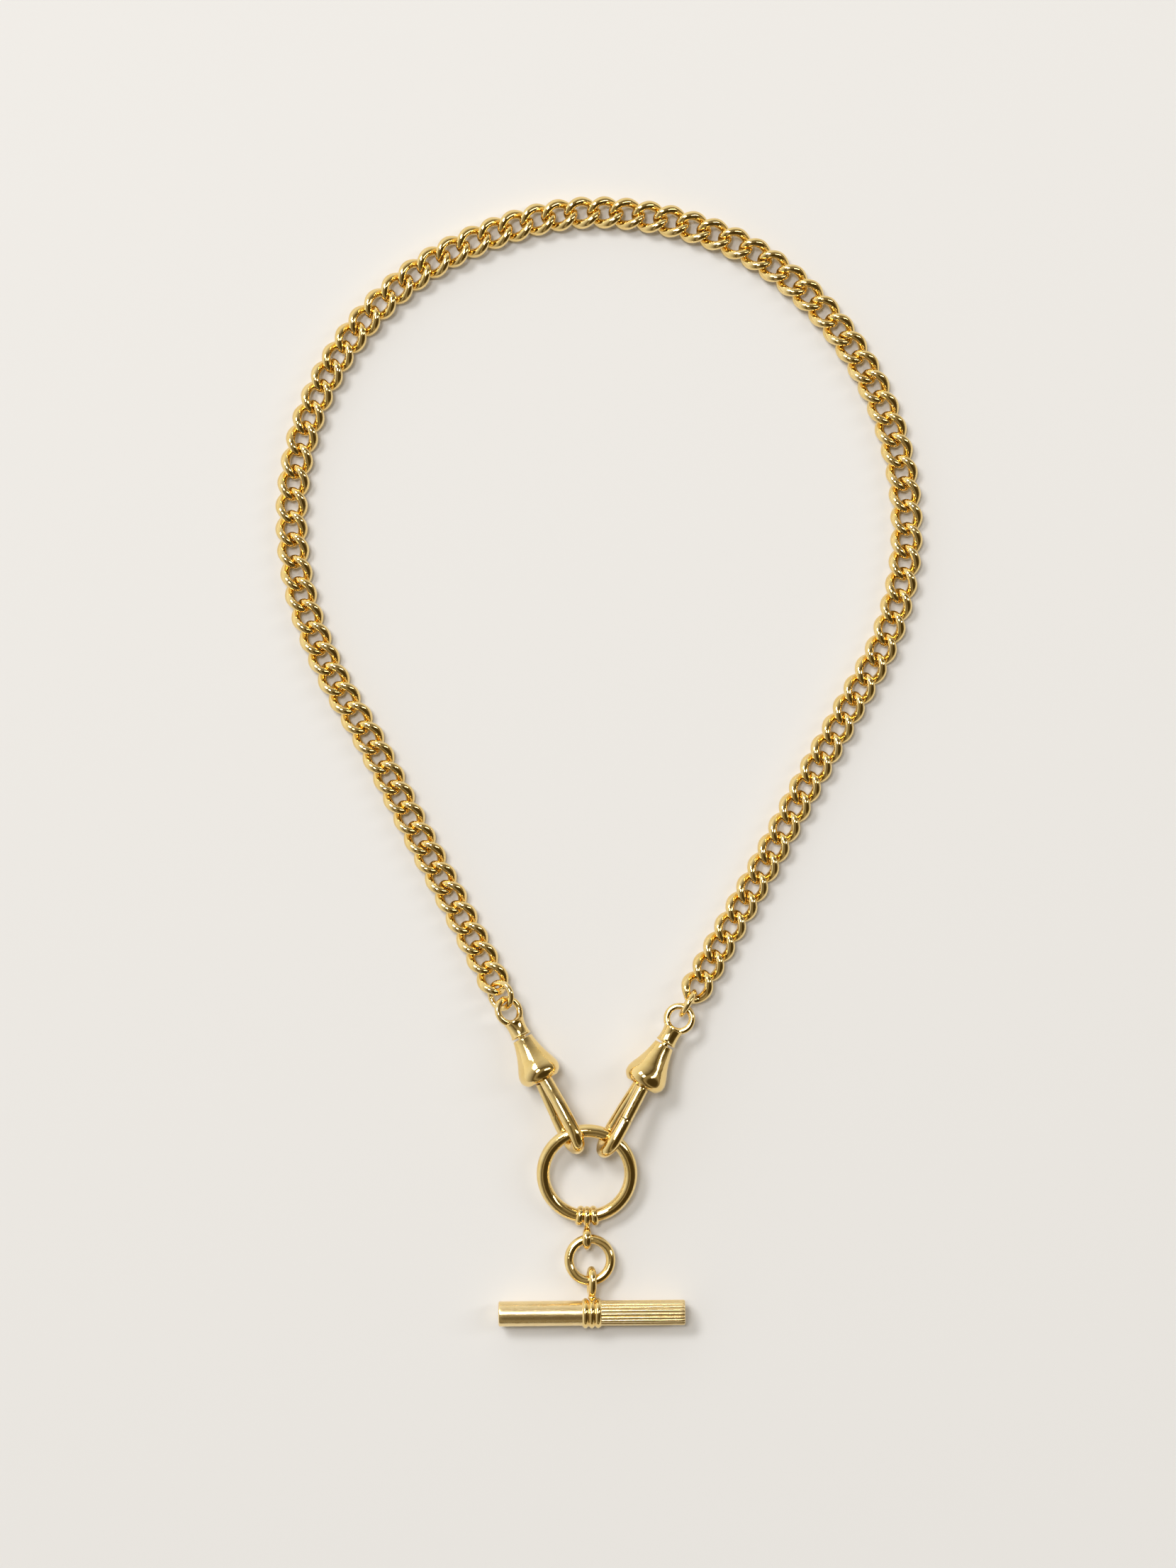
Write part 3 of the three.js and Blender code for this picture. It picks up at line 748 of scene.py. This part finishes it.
def make_jump_ring(side, end_link, gold):
    centre = jump_centre(side)
    matrix = placement(centre, end_link - eye_centre(side), SIDES[side]["jump_roll"])
    cut = JUMP_CUT / JUMP_RADIUS
    angles = np.linspace(JUMP_CUT_AT + cut, JUMP_CUT_AT + 2 * math.pi - cut, 90)
    route = np.column_stack([JUMP_RADIUS * np.cos(angles), JUMP_RADIUS * np.sin(angles), 0 * angles])
    wire = round_ended(route, JUMP_WIRE - WIRE_CLEARANCE, 0.04, 24)
    piece = make_mesh(f"{side}_open_jump_ring", wire, matrix)
    finish_piece(piece, gold, f"{side}_jump", [f"{side}_jump_ring"])


class Course:
    """The chain's route in plan between its jump rings, measured by length along it."""

    def __init__(self):
        middle = [(x + SHIFT[0], y + SHIFT[1]) for x, y in COURSE]
        ends = [tuple(jump_centre(side)[:2]) for side in ("left", "right")]
        self.points = spline([ends[0], *middle, ends[1]], 60)
        steps = np.linalg.norm(np.diff(self.points, axis=0), axis=1)
        self.along = np.concatenate([[0], np.cumsum(steps)])
        self.length = self.along[-1]

    def at(self, along):
        x, y = (np.interp(along, self.along, self.points[:, i]) for i in (0, 1))
        to_end = max(0, min(along, self.length - along))
        lift = max(0, 1 - to_end / DESCENT) ** 2
        return np.array([x, y, CHAIN_HEIGHT + lift * (JUMP_HEIGHT - CHAIN_HEIGHT) + SHIFT[2]])


def run_lengths(side):
    """Links in each run of one side, from the clasp to the crown."""
    lengths = []
    left = CHAIN_LINKS[side]
    for i in range(RUNS_PER_SIDE):
        after = RUNS_PER_SIDE - i - 1
        lengths.append(min(RUN_LENGTHS[i % 2], left - after * RUN_LENGTHS[0]))
        left -= lengths[i]
    return lengths


def lay_links():
    """Every link from left to right as (side, run, centre, direction), and half a link's inner length."""
    left = [("left", i + 1, count) for i, count in enumerate(run_lengths("left"))]
    right = [("right", i + 1, count) for i, count in enumerate(run_lengths("right"))]
    links = [(side, run) for side, run, count in left + right[::-1] for _ in range(count)]
    slack = [RUN_BITE if a == b else -RUN_PLAY for a, b in zip(links, links[1:])]
    course = Course()
    reach = JUMP_RADIUS - JUMP_WIRE - LINK_PLAY
    half_inner = (course.length - 2 * reach - sum(slack)) / (2 * len(links))
    along = reach + half_inner
    laid = []
    for i, (side, run) in enumerate(links):
        if i:
            along += 2 * half_inner + slack[i - 1]
        direction = unit(course.at(along + 1) - course.at(along - 1))
        laid.append((side, run, course.at(along), direction))
    return laid, half_inner


def curb_link(half_inner):
    angles = full_turn(64)
    twist = -LINK_END_TWIST * np.cos(angles)
    across = LINK_HALF_WIDTH * np.sin(angles)
    route = np.column_stack(
        [(half_inner + LINK_WIRE) * np.cos(angles), across * np.cos(twist), across * np.sin(twist)]
    )
    return tube(route, LINK_WIRE * (1 + LINK_SHOULDER * np.sin(angles) ** 4), around=20, closed=True)


def make_chain(gold):
    laid, half_inner = lay_links()
    shape = curb_link(half_inner)
    counts = {}
    luck = random.Random(LINK_LUCK)
    for side, run, centre, direction in laid:
        body = f"{side}_run_{run:02d}"
        counts[body] = counts.get(body, 0) + 1
        matrix = placement(centre, direction, math.radians(luck.uniform(-LINK_ROLL, LINK_ROLL)))
        piece = make_mesh(f"{side}_link_{run:02d}_{counts[body]}", shape, matrix)
        finish_piece(piece, gold, body, [f"{side}_chain_{run:02d}"])
    make_jump_ring("left", laid[0][2], gold)
    make_jump_ring("right", laid[-1][2], gold)


# ---- floor, lights and camera ----

VIEW_CENTRE = Vector((-2.26 * MM, -4.6 * MM, 0))
VIEW_HEIGHT = 323 * MM
CAMERA_HEIGHT = 0.82
FLOOR_REACH = 4000  # millimetres, as the floor is a mesh
LAMP_WHITE = (1, 0.993, 0.985)
BRIGHT_SIDE = (-0.5, 0.42, -0.62)
# From the side away from BRIGHT_SIDE, at 0, towards that side
ROOM_TONES = [
    (0.0, (0.05, 0.035, 0.012)), (0.11, (0.07, 0.05, 0.02)), (0.19, (0.36, 0.31, 0.22)),
    (0.27, (0.09, 0.065, 0.025)), (0.42, (0.45, 0.42, 0.37)), (0.6, (0.85, 0.84, 0.81)),
    (1.0, (1.2, 1.19, 1.16)),
]


def make_floor():
    """A large floor under the lowest point of the necklace at rest."""
    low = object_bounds()[0].z / MM
    verts = [(x * FLOOR_REACH, y * FLOOR_REACH, low) for x, y in ((-1, -1), (1, -1), (1, 1), (-1, 1))]
    floor = make_mesh("floor", (verts, [(0, 1, 2, 3)]))
    material = bpy.data.materials.new("floor")
    material.use_nodes = True
    shader = material.node_tree.nodes["Principled BSDF"]
    shader.inputs["Base Color"].default_value = (0.82, 0.816, 0.812, 1)
    shader.inputs["Roughness"].default_value = 0.75
    shader.inputs["Specular IOR Level"].default_value = 0.2
    floor.data.materials.append(material)


def make_light(name, place, size, power, colour):
    light = bpy.data.lights.new(name, "AREA")
    light.shape = "RECTANGLE"
    light.size, light.size_y = size
    light.energy = power
    light.color = colour
    lamp = bpy.data.objects.new(name, light)
    lamp.location = place
    lamp.rotation_euler = (VIEW_CENTRE - Vector(place)).to_track_quat("-Z", "Y").to_euler()
    bpy.context.scene.collection.objects.link(lamp)


def make_lights():
    """A key from the upper left, a smaller light near overhead and a weak fill from the right."""
    make_light("key", (-1.25, 1.45, 2.3), (1.1, 0.7), 37, LAMP_WHITE)
    make_light("overhead", (-0.42, 0.5, 2.6), (0.8, 0.5), 22, LAMP_WHITE)
    make_light("fill", (1.7, 0.5, 1.5), (0.3, 1.4), 8, (1, 0.99, 0.975))


def make_room():
    """Surroundings that are brightest low on the key's side and darker away from it, but for a dim band
    that passes straight overhead."""
    world = bpy.data.worlds.new("room")
    bpy.context.scene.world = world
    world.use_nodes = True
    nodes, links = world.node_tree.nodes, world.node_tree.links
    towards = nodes.new("ShaderNodeVectorMath")
    towards.operation = "DOT_PRODUCT"
    towards.inputs[1].default_value = BRIGHT_SIDE
    links.new(nodes.new("ShaderNodeTexCoord").outputs["Generated"], towards.inputs[0])
    share = nodes.new("ShaderNodeMapRange")
    share.inputs["From Min"].default_value = -1
    links.new(towards.outputs["Value"], share.inputs["Value"])
    ramp = nodes.new("ShaderNodeValToRGB")
    links.new(share.outputs["Result"], ramp.inputs["Fac"])
    while len(ramp.color_ramp.elements) < len(ROOM_TONES):
        ramp.color_ramp.elements.new(0.5)
    for element, (position, colour) in zip(ramp.color_ramp.elements, ROOM_TONES):
        element.position = position
        element.color = (*colour, 1)
    links.new(ramp.outputs["Color"], nodes["Background"].inputs["Color"])
    nodes["Background"].inputs["Strength"].default_value = 1.0


def make_camera():
    camera = bpy.data.cameras.new("camera")
    camera.lens = camera.sensor_width * CAMERA_HEIGHT / VIEW_HEIGHT
    camera.clip_start = 0.01
    eye = bpy.data.objects.new("camera", camera)
    eye.location = VIEW_CENTRE + Vector((0, 0, CAMERA_HEIGHT))
    bpy.context.scene.collection.objects.link(eye)
    bpy.context.scene.camera = eye
    bpy.context.scene.view_settings.view_transform = "Standard"


def make_necklace():
    gold, satin, steel = polished_gold(), satin_gold(), spring_steel()
    make_big_ring(gold)
    make_ring_collar(gold)
    make_collar_link(gold)
    make_small_ring(gold)
    make_bar_loop(gold)
    make_bar_collar(gold)
    make_smooth_half(satin)
    make_fluted_half(satin)
    for side in SIDES:
        make_clasp(side, gold, steel)
    make_chain(gold)


make_camera()
make_lights()
make_room()
make_necklace()
make_floor()
